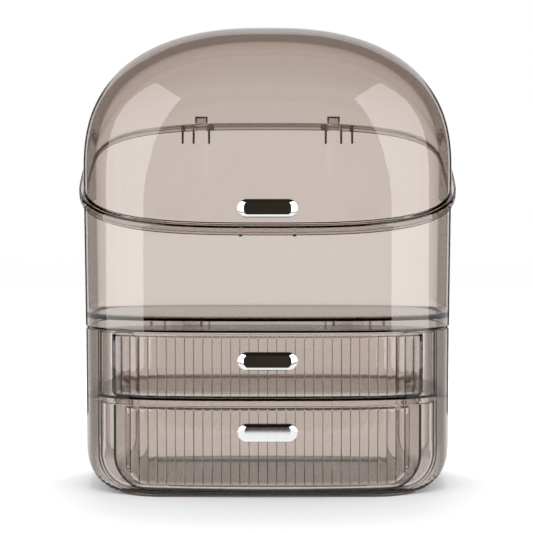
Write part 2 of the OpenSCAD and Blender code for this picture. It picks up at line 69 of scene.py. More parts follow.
# The case's rim: its plane, its turned-down edge with a step, and the dustproof lip inside the lid
RIM_SLOPE = tan(radians(23.6))
RIM_Z0 = DOME_Z + 1.8
RIM_OUT, RIM_T, RIM_H = 3.2, 1.6, 7.2
RIM_GAP = 0.3
LIP_H, LIP_T, LIP_GAP, LIP_SOFT = 0.5, 0.9, 0.4, 0.3
RIM_STEP, RIM_STEP_UP = 0.6, 3
LEDGE_IN = 0.2
KEY_X, KEY_W, KEY_OUT = 20.5, 2.6, 0.5

# Radii of rounded edges, and of the fillet round the case's floor
RIM_SOFT, LID_SOFT, CASE_SOFT, FOOT_EDGE, PLATE_EDGE = 1.2, 0.9, 0.5, 0.4, 0.3
FLOOR_FILLET = 2.5

# Cabinet
CASE_FOOT_IN = (DOME_Z - CAB_TOP_Z) * DRAFT
CAB_IN = CASE_FOOT_IN + 1.2
CAB_A = CASE_A - CAB_IN
CAB_B = CASE_B - CAB_IN
CORNER_R = 35
OPENING_IN, OPENING_R = 13.6, 26
OPENING_HALF = CAB_A - OPENING_IN
OPENING_BACK = 0.4 * CAB_B
FOOT_SIDE, FOOT_FRONT, FOOT_R = 25.8, 3, 40

# The cabinet's sides: their lean at the floor and its power, how far they stand out beside the opening,
# the blend into the round corners, and the height over these in which they may move out by 1
SIDE_LEAN, LEAN_POWER, SIDE_OUT, SIDE_BLEND, SIDE_EASE = 0.8, 1.5, 1, 3, 10

# Shelf: its lip, front line with painted shade, front edge and guides, and the ledges that carry it
SHELF_LIP, SHELF_LINE, SHELF_EDGE_T = 3.4, 1.9, 8.2
SHELF_GAP = 0.3
GUIDE_T = 1.6
GUIDE_FRONT, GUIDE_BACK = 0.7 * CAB_B, 0.5 * CAB_B
LEDGE_W, LEDGE_T, LEDGE_SINK = 4, 2, 0.4
LEDGE_HALF = 0.55 * CAB_B

# Drawers
FRONT_HALF = OPENING_HALF - 0.6
LOWER_Z, LOWER_TOP_Z, LOWER_CORNER_R = 4.6, 69.6, OPENING_R - 0.6
UPPER_Z, UPPER_TOP_Z, UPPER_CORNER_R = 76.1, 125.0, 1.5
LOWER_SOFT, UPPER_SOFT, FRONT_TOP_SOFT = 5, 0.8, 0.5
FRONT_T, FRONT_MIN_T, FRONT_RETURN, RETURN_STEP = 2.4, 1.2, 5, 0.02
# Where a front's face lies inside the plan outline, and half a tray's width
FACE_IN, TRAY_HALF = CAB_IN + 1, CAB_A - 26.3
TRAY_WALL, TRAY_FLOOR, TRAY_DROP, TRAY_R, TRAY_BACK_R = 2, 1.2, 1, 30, 25
TRAY_MIN_R, TRAY_SOFT, BACK_GAP = 3, 0.5, 3
# How far behind the face the tray starts: outside, over its rounded rim, and inside
TRAY_INS = (0.8, 0.9, 1, FRONT_T - 0.3, FRONT_T - 0.1, FRONT_T + 0.02)
REED_W = 7.04
REED_TOP, REED_FOOT, REED_END = 1.4, 4, 3
UPPER_REEDS, UPPER_FIELD, UPPER_FIELD_R = 34, 119.68, 3
LOWER_REEDS, LOWER_FIELD, LOWER_FIELD_R = 32, 108.8, 17
# A reed's flank as a share of its half width, how far it rises, and the crown over it
FLANK, FLANK_LOW, FLANK_HIGH, CROWN = 0.12, -0.45, 0.75, 0.25
# Places across a reed, in half widths
REED_PLACES = (0, FLANK / 2, FLANK, 0.35, 0.65, 1, 1.35, 1.65, 2 - FLANK, 2 - FLANK / 2)
# Groove round the field: half its width, its depth, and that along the upper front's foot
GROOVE_HALF, GROOVE_DEPTH, GROOVE_FOOT = 0.5, 0.8, 0.15
FLUTE_OUT, FLUTE_SINK = 0.5, 0.1
# Rows of a front's mesh near its edges, how many lie between, and their crowding
EDGE_ROWS = (0, 0.15, 0.4, 0.8, 1.3, 1.9, 2.6, 3.4, 4.3, 5.2)
ROW_N, ROW_POWER = 90, 1.3
COLUMN_GAP = 0.015

# Hinges
HINGE_X = 57.5
HINGE_Y = CASE_B + 8
HINGE_Z = RIM_Z0 + CASE_B * RIM_SLOPE - 3.5
HINGE_RUN = HINGE_Y - CASE_B
PIN_R, PIN_PLAY, BARREL_R = 1.5, 0.05, 3.6
PIN_EDGE = 0.3
KNUCKLE_W, KNUCKLE_H, KNUCKLE_SKIN, KNUCKLE_UP = 10.8, 6.3, 1.4, 4 * RIM_GAP
# A knuckle's bend, and how far its hollow reaches below its root, there behind, and past the pin
BEND_RUN, BEND_Y, BEND_Z = 0.7, 0.8, 1
HOLLOW_ROOT, HOLLOW_LOW, HOLLOW_Y = 2, 8, 0.6
LUG_T, LUG_GAP, LUG_SPACE, LUG_DROP, LUG_FOOT = 1.8, 0.4, 7.7, 15, 3
LUG_SLANT = radians(20)
# How deep in its wall a lug or a knuckle starts, as a share, and how a lug's back bends
LUG_ROOT, KNUCKLE_ROOT, LUG_BEND = 0.6, 0.5, 0.4
LUG_IN_X = KNUCKLE_W / 2 + LUG_GAP
OUTER_LUG_X = LUG_IN_X + LUG_T + LUG_SPACE

# Pulls
PULL_W, PULL_H, PULL_OUT = 45.5, 14, 4
PULL_BEVEL, PULL_END_BEVEL, PULL_FIELD_R = 2.2, 5.2, 2.5
PULL_SOFT, PULL_CAP, PULL_SIDE = 0.35, 0.3, 0.02
# The bevel: shares of the way inwards, and of the way up
PULL_PROFILE = ((0.02, -0.035), (0.1, 0.12), (0.3, 0.3), (0.6, 0.6), (0.85, 0.85), (0.94, 0.93), (1, 0.985))
SEAT_GAP = 0.1
LID_PULL_UP, UPPER_PULL_DOWN, LOWER_PULL_DOWN = 12.6, 20.6, 19.8

# Clips on the cabinet's top, and ribs under the case's floor
CLIP_X, CLIP_W, CLIP_T, CLIP_FRAME, CLIP_PLAY = 64.3, 18, 1.8, 1.3, 0.5
CLIP_H = 7.8 - 0.9
CLIP_IN = CASE_FOOT_IN + WALL + CLIP_PLAY
WINDOW_Z = CAB_TOP_Z + CLIP_H / 2 - CLIP_FRAME / 2
WINDOW_NEAR, WINDOW_FAR = 60, 120
RIB_XS = (50.4, 88.8)
RIB_T, RIB_L, RIB_GAP = 1.6, 8, 3.2

# Camera, fitted to the photograph
CAMERA_AT = (-0.0008, -1.407, 0.2185)
CAMERA_TILT = radians(1.84)
LENS_MM, SENSOR_MM = 116.6, 36


# Outline of the object

def scaled_point(inset, t):
    """A point at angle t on the plan outline, made smaller by inset along both axes."""
    c, s = cos(t), sin(t)
    d = abs(c) ** PLAN_PX + abs(s) ** PLAN_PY
    return (CASE_A - inset) * c / d ** (1 / PLAN_PX), (CASE_B - inset) * s / d ** (1 / PLAN_PY)


def plan_point(inset, t):
    """A point at angle t on the plan outline, moved straight inwards by inset."""
    x, y = scaled_point(0, t)
    nx = copysign(PLAN_PX * abs(x / CASE_A) ** (PLAN_PX - 1) / CASE_A, x)
    ny = copysign(PLAN_PY * abs(y / CASE_B) ** (PLAN_PY - 1) / CASE_B, y)
    size = hypot(nx, ny)
    return x - inset * nx / size, y - inset * ny / size


def plan_depth(x, inset):
    """How far the plan outline lies in front of the middle plane at x, and behind it."""
    return (CASE_B - inset) * max(0, 1 - (abs(x) / (CASE_A - inset)) ** PLAN_PX) ** (1 / PLAN_PY)


def plan_half(y, inset):
    """How far the plan outline lies beside the middle plane at y."""
    return (CASE_A - inset) * max(0, 1 - (abs(y) / (CASE_B - inset)) ** PLAN_PY) ** (1 / PLAN_PX)


def skin_point(inset, t, z):
    """A point on the surface of the case and the dome, moved inwards by inset."""
    h = max(0, z - DOME_Z) / (DOME_H - inset)
    low = max(0, DOME_Z - z) * DRAFT
    x, y = plan_point(inset + low, t)
    scaled_x, scaled_y = scaled_point(inset + low, t)
    high = h ** 3
    x += (scaled_x - x) * high
    y += (scaled_y - y) * high
    x *= max(0, 1 - h ** DOME_EX) ** (1 / DOME_PX)
    y *= max(0, 1 - h ** DOME_EY) ** (1 / PLAN_PY)
    return x, y, z


def skin_y(inset, x, z):
    """How far back that surface lies at x, above the base of the dome."""
    h = max(0, z - DOME_Z) / (DOME_H - inset)
    a = (CASE_A - inset) * (1 - h ** DOME_EX) ** (1 / DOME_PX)
    b = (CASE_B - inset) * (1 - h ** DOME_EY) ** (1 / PLAN_PY)
    return b * (1 - (abs(x) / a) ** PLAN_PX) ** (1 / PLAN_PY)


def rim_point(inset, t, up):
    """Where that surface meets the rim's plane, raised by up."""
    z = DOME_Z
    tries = 6
    for _ in range(tries):
        z = RIM_Z0 + up + RIM_SLOPE * skin_point(inset, t, z)[1]
    return skin_point(inset, t, z)


def prism_rim_loop(inset, up):
    """Where the upright prism over the plan outline meets the rim's plane, raised by up."""
    return [(x, y, RIM_Z0 + up + RIM_SLOPE * y) for x, y, _ in plan_loop(inset, 0)]


def dome_point(inset, t, f, up):
    """A point a share f of the way from the rim's plane to the crown."""
    z = rim_point(inset, t, up)[2]
    return skin_point(inset, t, z + (CROWN_Z - inset - z) * sin(pi / 2 * f))


def loop(point):
    return [point(2 * pi * i / PLAN_N) for i in range(PLAN_N)]


def plan_loop(inset, z):
    return loop(lambda t: (*plan_point(inset, t), z))


def skin_loop(inset, z):
    return loop(lambda t: skin_point(inset, t, z))


def rim_loop(inset, up):
    return loop(lambda t: rim_point(inset, t, up))


def soft_limit(x, limit):
    """x kept under limit, with a smooth turn."""
    h = max(0, SIDE_BLEND - abs(abs(x) - limit)) / SIDE_BLEND
    return copysign(min(abs(x), limit) - h * h * SIDE_BLEND / 4, x) if abs(x) > limit - SIDE_BLEND else x


def round_fall(r, gap):
    """How far a rounded edge of radius r falls back at a distance gap from its end."""
    rise = min(r, max(0, gap))
    return r - sqrt(r * r - (r - rise) ** 2)


def round_heights(low, r, steps):
    """Heights up a round corner of radius r."""
    return [low + r * (1 - cos(radians(90 * k / steps))) for k in range(steps + 1)]


def rounded_outline(half_x, half_y, r, steps):
    """Quarter circles of radius r about four centres."""
    points = []
    for quarter, (sx, sy) in enumerate(((1, 1), (-1, 1), (-1, -1), (1, -1))):
        for k in range(steps + 1):
            t = pi / 2 * (quarter + k / steps)
            points.append((sx * half_x + r * cos(t), sy * half_y + r * sin(t)))
    return points


def span(side, near, far):
    """Two distances, taken to one side of the middle plane, the lower place first."""
    return sorted((side * near, side * far))


def side_name(side):
    return "left" if side < 0 else "right"


# Meshes

def make_object(name, points, faces):
    mesh = bpy.data.meshes.new(name)
    mesh.from_pydata([(x * MM, y * MM, z * MM) for x, y, z in points], [], faces)
    work = bmesh.new()
    work.from_mesh(mesh)
    bmesh.ops.recalc_face_normals(work, faces=work.faces)
    work.to_mesh(mesh)
    work.free()
    piece = bpy.data.objects.new(name, mesh)
    bpy.context.scene.collection.objects.link(piece)
    return piece


def loft(name, loops, start=None, end=None):
    """A solid over loops of equal length, with flat ends or closed at the heights start and end."""
    n = len(loops[0])
    points = [p for one in loops for p in one]
    faces = []
    for i in range(len(loops) - 1):
        for j in range(n):
            a, b = i * n + j, i * n + (j + 1) % n
            faces.append((a, b, b + n, a + n))
    if start is None:
        faces.append(tuple(range(n)))
        faces.append(tuple(len(points) - 1 - k for k in range(n)))
    else:
        first, last = len(points), len(points) + 1
        base = len(points) - n
        faces += [(first, j, (j + 1) % n) for j in range(n)]
        faces += [(last, base + (j + 1) % n, base + j) for j in range(n)]
        points += [(0, 0, start), (0, 0, end)]
    return make_object(name, points, faces)


def prism_x(name, outline, x0, x1):
    return loft(name, [[(x, y, z) for y, z in outline] for x in (x0, x1)])


def box(name, x0, x1, y0, y1, z0, z1):
    return prism_x(name, [(y0, z0), (y1, z0), (y1, z1), (y0, z1)], x0, x1)


def hinge_rod(name, r, x0, x1, edge=0):
    """A round bar on the hinges' axis, with rounded ends where edge is given."""
    rings = [(x0, r)]
    if edge:
        rings = [(x0, r - edge), (x0 + edge * ROUND_MID, r - edge * ROUND_MID), (x0 + edge, r)]
    rings += [(x0 + x1 - x, radius) for x, radius in reversed(rings)]
    turns = [2 * pi * k / ROD_N for k in range(ROD_N)]
    return loft(name, [[(x, HINGE_Y + radius * cos(t), HINGE_Z + radius * sin(t)) for t in turns]
                       for x, radius in rings])


def bore(x0, x1):
    """What cuts a hinge pin's hole."""
    return hinge_rod("bore", PIN_R + PIN_PLAY, x0 - BORE_PAST, x1 + BORE_PAST)


def apply(piece, step):
    with bpy.context.temp_override(object=piece, active_object=piece):
        bpy.ops.object.modifier_apply(modifier=step.name)


def combine(base, how, tools):
    """Joins tools to the base or cuts them off. The tools are used up."""
    for tool in tools:
        step = base.modifiers.new("combine", "BOOLEAN")
        step.operation = how
        step.solver = "MANIFOLD"
        step.object = tool
        apply(base, step)
        bpy.data.objects.remove(tool)
    return base


def join(base, *tools):
    return combine(base, "UNION", tools)


def cut(base, *tools):
    return combine(base, "DIFFERENCE", tools)


# Turn between faces over which an edge stays sharp
SHARP = radians(28)
# Faces with the painted shade materials: limits for the normal's part along an axis
RIB_FACING, CLIP_FACING, LINE_FACING = 0.9, 0.6, 0.5
# Share of the lid's rounded edge with painted shade, and how far back the knuckles start
LID_EDGE_SHADE_SHARE, KNUCKLE_OUT = 0.16, 0.5


def over_rim(y, z):
    """How far a point lies above the rim's plane."""
    return z - RIM_Z0 - RIM_SLOPE * y


def is_outside(x, y, out):
    """Whether a point lies outside the plan outline grown by out."""
    return (abs(x) / (CASE_A + out)) ** PLAN_PX + (abs(y) / (CASE_B + out)) ** PLAN_PY > 1


def pick_case_shade(x, y, z, normal):
    """1 for the painted shade lines of the rim and the ribs, 2 for painted shade on the rim's turned-down
    edge and the hinge lugs.
    """
    if y > CASE_B + RIM_OUT:
        return 2
    is_corner = is_outside(x, y, RIM_OUT - RIM_SOFT) and -RIM_SOFT < over_rim(y, z) < CLOSE
    near = min(abs(abs(x) - place) for place in RIB_XS) < RIB_T
    is_rib = near and abs(normal.x) > RIB_FACING and CAB_TOP_Z + RIB_GAP - 1 < z < CASE_FLOOR_Z
    if is_corner or is_rib:
        return 1
    height = over_rim(y, z) + RIM_H
    if not is_outside(x, y, RIM_GAP) or height <= -CLOSE:
        return 0
    is_step = RIM_STEP_UP - RIM_STEP < height < RIM_STEP_UP
    return 1 if is_step or height < RIM_STEP else 2


def pick_lid_shade(x, y, z, normal):
    """1 for painted shade on the lower edge, 2 for painted shade on the knuckles."""
    if y > CASE_B + KNUCKLE_OUT:
        return 2
    return int(-CLOSE < over_rim(y, z) - RIM_GAP < LID_SOFT * LID_EDGE_SHADE_SHARE)


def is_shaded_clip_side(x, y, z, normal):
    """Faces of the clips that don't look forwards or back, which get painted shade."""
    return z > CAB_TOP_Z + 2 * DEEP_SINK and abs(normal.y) < CLIP_FACING


def is_shelf_shade_line(x, y, z, normal):
    """The shelf's front edge, which gets a painted shade line."""
    return z > SHELF_TOP_Z - SHELF_LINE and normal.y < -LINE_FACING


def settle(piece, body, slot, material, *nodes, shade_materials=(), pick_shade=None):
    """Smooth shading with sharp edges, the materials with painted shade on picked faces, and the body that
    the piece rides on.
    """
    piece.data.materials.clear()
    piece.data.materials.append(material)
    for other in shade_materials:
        piece.data.materials.append(other)
    if shade_materials:
        for face in piece.data.polygons:
            x, y, z = face.center / MM
            face.material_index = int(pick_shade(x, y, z, face.normal))
    piece.data.shade_smooth()
    piece.data.set_sharp_from_angle(angle=SHARP)
    step = piece.modifiers.new("weighted", "WEIGHTED_NORMAL")
    step.keep_sharp = True
    apply(piece, step)
    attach(piece, body)
    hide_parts(*nodes)


def plate(name, inset, z0, z1, limit=None):
    """A flat plate with the plan outline and rounded edges, no wider than the limit."""
    turns = [radians(turn) for turn in (0, 30, 60, 90)]
    edge = [(inset + PLATE_EDGE * (1 - sin(t)), PLATE_EDGE * (1 - cos(t))) for t in turns]
    loops = [plan_loop(i, z0 + up) for i, up in edge] + [plan_loop(i, z1 - up) for i, up in reversed(edge)]
    if limit:
        loops = [fitted(points, limit) for points in loops]
    return loft(name, loops, z0, z1)


def front_strip(name, x0, x1, inset, depth, z0, z1, side=-1, reeds=0, out=0):
    """A wall along the front (side -1) or the back (side 1) of the plan outline, from x0 to x1."""
    shares = (0, FLANK / 2, 0.5, 1 - FLANK / 2)
    places = [k / STRIP_N for k in range(STRIP_N + 1)]
    if reeds:
        places = [(k + share) / reeds for k in range(reeds) for share in shares] + [1]
    sections = []
    for place in places:
        x = x0 + (x1 - x0) * place
        u = 2 * (place * reeds % 1) - 1
        bump = out * min(1, (1 - abs(u)) / FLANK)
        outer = side * (plan_depth(x, inset) + bump)
        inner = side * plan_depth(x, inset + depth)
        sections.append([(x, outer, z0), (x, inner, z0), (x, inner, z1), (x, outer, z1)])
    return loft(name, sections)


# Cabinet

def side_limit(z, inset):
    """How far the cabinet's round lower corners let its sides reach at height z."""
    over = 1 + SIDE_OUT
    low = CAB_Z + inset
    r = CORNER_R + over - inset
    return CAB_A + over - inset - round_fall(r, z - low) + max(0, z - low - r) / SIDE_EASE


def side_lean(x, z):
    """x moved outwards beside the front opening, and inwards towards the floor."""
    share = max(0, abs(x) - OPENING_HALF) / OPENING_IN
    lean = SIDE_LEAN * share ** LEAN_POWER * (CAB_WALL_Z - z) / CAB_WALL_Z
    return x + copysign(SIDE_OUT * min(1, share) - lean, x)


def fitted(points, limit):
    """A loop with the cabinet's leaning sides, kept under the limit."""
    return [(soft_limit(side_lean(x, z), limit), y, z) for x, y, z in points]


def cabinet_loop(inset, z):
    return fitted(plan_loop(CAB_IN + inset, z), side_limit(z, inset))


def cabinet_heights(low, r):
    """Heights up the cabinet, close together round the lower corners."""
    rounds = round_heights(low, r, CORNER_N)
    top = rounds[-1]
    steps = 7
    return rounds + [top + (CAB_WALL_Z - top) * k / steps for k in range(1, steps + 1)]


def opening_tool():
    """A block with the opening's outline, which cuts it out of the cabinet's front."""
    arc = [(OPENING_HALF - OPENING_R + OPENING_R * cos(radians(a)),
            CAB_FLOOR_Z + OPENING_R - OPENING_R * sin(radians(a))) for a in range(0, 91, 5)]
    right = [(OPENING_HALF, CAB_TOP_Z + 1)] + arc
    outline = right + [(-x, z) for x, z in reversed(right)]
    return loft("opening", [[(x, y, z) for x, z in outline] for y in (-CASE_B - PAST, -OPENING_BACK)])


def side_ledge(side):
    """Ledge on a side wall that carries the middle shelf."""
    sections = []
    for i in range(QUARTER_N + 1):
        y = -LEDGE_HALF + 2 * LEDGE_HALF * i / QUARTER_N
        outer = side * (plan_half(y, CAB_IN + WALL / 2) - LEDGE_SINK)
        inner = side * plan_half(y, CAB_IN + WALL + LEDGE_W)
        sections.append([(outer, y, SHELF_Z - LEDGE_T), (inner, y, SHELF_Z - LEDGE_T),
                         (inner, y, SHELF_Z), (outer, y, SHELF_Z)])
    return loft("ledge", sections)


def make_cabinet_shell():
    """Back, sides and floor, with round lower corners, a front opening and the ledges."""
    corner = CORNER_R + SIDE_OUT
    outside = [cabinet_loop(0, z) for z in cabinet_heights(CAB_Z, corner)]
    low = CAB_Z + WALL
    inside = [cabinet_loop(WALL, z) for z in reversed(cabinet_heights(low, corner - WALL))]
    shell = loft("cabinet_shell_fine", outside + inside, CAB_Z, low)
    cut(shell, opening_tool())
    return join(shell, side_ledge(-1), side_ledge(1))


def clip(x, side):
    """A tongue with a window on the cabinet's top."""
    half = CLIP_W / 2
    top = CAB_TOP_Z + CLIP_H
    tongue = front_strip("clip", x - half, x + half, CLIP_IN, CLIP_T, CAB_TOP_Z - DEEP_SINK, top, side)
    near, far = span(side, WINDOW_NEAR, WINDOW_FAR)
    return cut(tongue, box("window", x - half + CLIP_FRAME, x + half - CLIP_FRAME, near, far,
                           WINDOW_Z, top - CLIP_FRAME))


def make_top_plate():
    piece = plate("cabinet_top_plate_fine", CAB_IN, CAB_WALL_Z, CAB_TOP_Z)
    for x in (-CLIP_X, CLIP_X):
        for side in (-1, 1):
            join(piece, clip(x, side))
    return piece


def make_shelf():
    """Shelf with its front line, its fluted lip and the two guides."""
    front_in = CAB_IN + SEAT_GAP
    flute_in = front_in + FLUTE_OUT
    limit = side_limit(SHELF_Z, WALL + SHELF_GAP)
    piece = plate("middle_shelf_fine", CAB_IN + WALL + SHELF_GAP, SHELF_Z, SHELF_TOP_Z, limit)
    line_z = SHELF_TOP_Z - SHELF_LINE
    low = SHELF_Z - SHELF_LIP
    half, flutes = FRONT_HALF, UPPER_FIELD
    join(piece, front_strip("edge", -half, half, front_in, SHELF_EDGE_T, line_z, SHELF_TOP_Z - SINK),
         front_strip("lip", -half, half, flute_in, WALL, low, line_z + SINK),
         front_strip("flutes", -flutes, flutes, flute_in, WALL - FLUTE_SINK, low + SINK,
                     line_z + SINK + END_SINK, reeds=UPPER_REEDS, out=FLUTE_OUT))
    guide_x = TRAY_HALF - TRAY_WALL / 2 - GUIDE_T / 2
    for x in (-guide_x - GUIDE_T, guide_x):
        join(piece, box("guide", x, x + GUIDE_T, -GUIDE_FRONT, GUIDE_BACK, low, SHELF_Z + DEEP_SINK))
    return piece


def make_foot():
    """Flat foot with round corners and softened edges."""
    half_x = CAB_A - FOOT_SIDE - FOOT_R
    half_y = CAB_B - FOOT_FRONT - FOOT_R
    middle = FOOT_EDGE * ROUND_MID
    edge = ((0, FOOT_EDGE), (middle, middle), (FOOT_EDGE, 0))
    rows = list(edge) + [(FOOT_H - z, back) for z, back in reversed(edge)]
    loops = [[(x, y, z) for x, y in rounded_outline(half_x, half_y, FOOT_R - back, QUARTER_N)]
             for z, back in rows]
    return loft("foot_plate_fine", loops, 0, FOOT_H)


# Upper case

# Shares of the way up the case's wall, outside and inside, and turns round the floor's fillet
OUTER_STEPS = (0.004, 0.2, 0.4, 0.6, 0.75, 0.87, 0.95, 1)
INNER_STEPS = (0.95, 0.87, 0.75, 0.6, 0.4, 0.2, 0.03)
FILLET_TURNS = (15, 35, 55, 75, 90)


def wall_loop(inset, z, share):
    """A loop on the case's wall, a share of the way from height z up to the rim's underside."""
    return loop(lambda t: skin_point(inset, t, z + (rim_point(inset, t, -RIM_T)[2] - z) * share))


def rim_band():
    """The turned-down edge with its step, as insets and heights over the rim's plane."""
    inner = RIM_T - RIM_OUT
    step = RIM_STEP - RIM_OUT
    low = CASE_SOFT - RIM_H
    middle = RIM_SOFT * ROUND_MID
    return ((inner, -RIM_T), (inner, low), (CASE_SOFT + RIM_T / 2 - RIM_OUT, -RIM_H), (step, low),
            (step, RIM_STEP_UP - RIM_STEP - RIM_H), (-RIM_OUT, RIM_STEP_UP - RIM_H), (-RIM_OUT, -RIM_SOFT),
            (-RIM_OUT + middle, -middle), (-RIM_OUT + RIM_SOFT, 0))


def rim_lip():
    """The lip inside the lid and the ledge behind it, the same."""
    outer = LID_WALL + LIP_GAP
    inner = outer + LIP_T
    ledge = inner + LEDGE_IN
    low = LIP_H - LIP_SOFT
    return ((outer, 0), (outer, low), (outer + LIP_SOFT, LIP_H), (inner - LIP_SOFT, LIP_H), (inner, low),
            (inner, 0), (ledge, 0), (ledge, -RIM_T), (WALL, -RIM_T))


def make_upper_case():
    """Case with floor, skirt, wall, turned-down edge and lip, as one profile run round the outline."""
    skirt_in = CASE_FOOT_IN + WALL
    loops = [plan_loop(skirt_in, CASE_FLOOR_Z), plan_loop(skirt_in, CAB_TOP_Z + CASE_SOFT),
             plan_loop(skirt_in - CASE_SOFT, CAB_TOP_Z), skin_loop(CASE_SOFT, CAB_TOP_Z)]
    loops += [wall_loop(0, CAB_TOP_Z, share) for share in OUTER_STEPS]
    loops += [prism_rim_loop(inset, up) for inset, up in rim_band()]
    loops += [rim_loop(inset, up) for inset, up in rim_lip()]
    loops += [wall_loop(WALL, CASE_IN_Z, share) for share in INNER_STEPS]
    for turn in FILLET_TURNS:
        angle = radians(turn)
        back = FLOOR_FILLET * (1 - cos(angle))
        loops.append(skin_loop(WALL + back, CASE_IN_Z + FLOOR_FILLET * (1 - sin(angle))))
    case = loft("upper_case_fine", loops, CASE_FLOOR_Z, CASE_IN_Z)
    cut_notches(case)
    add_case_details(case)
    return case


def cut_notches(case):
    """Room in which the lid's knuckles turn."""
    start = skin_y(0, HINGE_X - LUG_IN_X, HINGE_Z) + RIM_GAP
    for side in (-1, 1):
        x0, x1 = span(side, HINGE_X - LUG_IN_X, HINGE_X + LUG_IN_X)
        cut(case, box("notch", x0, x1, start, 2 * CASE_B, DOME_Z, CROWN_Z))


def add_case_details(case):
    """Hinge lugs, keys on the rim's front, and nibs and ribs inside the skirt."""
    for side in (-1, 1):
        for x in (-LUG_IN_X - LUG_T, LUG_IN_X, OUTER_LUG_X):
            join(case, hinge_lug(side, x))
        join(case, key(side))
        for end in (-1, 1):
            join(case, nib(side, end))
            for x in RIB_XS:
                join(case, rib(side, end, x))


def key(side):
    """A raised block on the front of the rim."""
    x0, x1 = span(side, KEY_X - KEY_W / 2, KEY_X + KEY_W / 2)
    front = -CASE_B - RIM_OUT - KEY_OUT
    back = -CASE_B - RIM_OUT + RIM_T
    front_z, back_z = (RIM_Z0 + RIM_SLOPE * y for y in (front, back))
    return prism_x("key", [(front, front_z - RIM_H), (back, back_z - RIM_H),
                           (back, back_z - SINK), (front, front_z - SINK)], x0, x1)


def nib(side, end):
    """What snaps into a clip's window."""
    half = CLIP_W / 2 - CLIP_FRAME - CLIP_PLAY
    x = side * CLIP_X
    return front_strip("nib", x - half, x + half, CASE_FOOT_IN + WALL / 2, CLIP_PLAY + CLIP_T / 2 + WALL / 2,
                       WINDOW_Z + CLIP_PLAY, CAB_TOP_Z + CLIP_H - CLIP_FRAME - CLIP_PLAY, end)


def rib(side, end, x):
    y = plan_depth(x, CASE_FOOT_IN + WALL)
    y0, y1 = span(end, y - RIB_L, y + WALL / 4)
    return box("rib", side * x - RIB_T / 2, side * x + RIB_T / 2, y0, y1,
               CAB_TOP_Z + RIB_GAP, CASE_FLOOR_Z + DEEP_SINK)


def hinge_lug(side, x):
    """One lug: a tapering plate with a round eye, and its bore."""
    x0, x1 = span(side, HINGE_X + x, HINGE_X + x + LUG_T)
    root = skin_y(WALL * LUG_ROOT, HINGE_X + x + LUG_T, HINGE_Z)
    lug = prism_x("lug", [
        (root, HINGE_Z - LUG_DROP), (root + LUG_FOOT, HINGE_Z - LUG_DROP),
        (HINGE_Y + BARREL_R * cos(LUG_SLANT), HINGE_Z - BARREL_R * sin(LUG_SLANT)),
        (HINGE_Y, HINGE_Z + BARREL_R), (HINGE_Y - BARREL_R, HINGE_Z + BARREL_R * LUG_BEND),
        (root, HINGE_Z - LUG_FOOT)], x0, x1)
    join(lug, hinge_rod("eye", BARREL_R, x0 + END_SINK, x1 - END_SINK))
    return cut(lug, bore(x0, x1))


def make_pin(side):
    x0, x1 = span(side, HINGE_X - LUG_IN_X - LUG_T, HINGE_X + OUTER_LUG_X + LUG_T)
    return hinge_rod("hinge_pin_fine_" + side_name(side), PIN_R, x0, x1, edge=PIN_EDGE)


# Lid

def dome_loops(inset, up):
    """Loops from the rim's plane, raised by up, towards the crown."""
    return [loop(lambda t, f=i / DOME_N: dome_point(inset, t, f, up)) for i in range(DOME_N)]


def make_lid():
    """Dome with a rounded lower edge, and the two knuckles."""
    middle = LID_SOFT * ROUND_MID
    edge = [rim_loop(inset, RIM_GAP + up) for inset, up in (
        (LID_WALL - middle, middle), (LID_WALL - LID_SOFT, 0), (LID_SOFT, 0), (middle, middle))]
    inside = dome_loops(LID_WALL, RIM_GAP + LID_SOFT)[::-1]
    lid = loft("lid_dome_fine", inside + edge + dome_loops(0, RIM_GAP + LID_SOFT),
               CROWN_Z - LID_WALL, CROWN_Z)
    return join(lid, lid_knuckle(-1), lid_knuckle(1))


def lid_knuckle(side):
    """An arm from the lid to a barrel round the pin, hollow from below, and its bore."""
    x0, x1 = span(side, HINGE_X - KNUCKLE_W / 2, HINGE_X + KNUCKLE_W / 2)
    top = HINGE_Z + BARREL_R
    root = skin_y(LID_WALL * KNUCKLE_ROOT, HINGE_X + KNUCKLE_W / 2, top)
    low = RIM_Z0 + RIM_SLOPE * root + KNUCKLE_UP
    high = low + KNUCKLE_H
    run = BEND_RUN * HINGE_RUN
    back = root + HINGE_RUN / 2
    arm = prism_x("knuckle", [
        (root, low), (root + run, low + run * RIM_SLOPE), (HINGE_Y - BARREL_R * BEND_Y, HINGE_Z + BEND_Z),
        (HINGE_Y, top), (back, high), (root, high)], x0, x1)
    join(arm, hinge_rod("barrel", BARREL_R, x0 + END_SINK, x1 - END_SINK))
    start = root + KNUCKLE_SKIN
    roof = high - KNUCKLE_SKIN
    hollow = [(start, low - HOLLOW_ROOT), (HINGE_Y + BARREL_R, low - HOLLOW_LOW),
              (HINGE_Y + HOLLOW_Y, top - KNUCKLE_SKIN), (back, roof), (start, roof)]
    cut(arm, prism_x("hollow", hollow, x0 + KNUCKLE_SKIN, x1 - KNUCKLE_SKIN))
    return cut(arm, bore(x0, x1))


# Drawers

def corner_gap(side, low, r, over):
    """The least of three distances, or the distance from the corner between the first two edges."""
    if side < r and low < r:
        return r - hypot(r - side, r - low)
    return min(side, low, over)


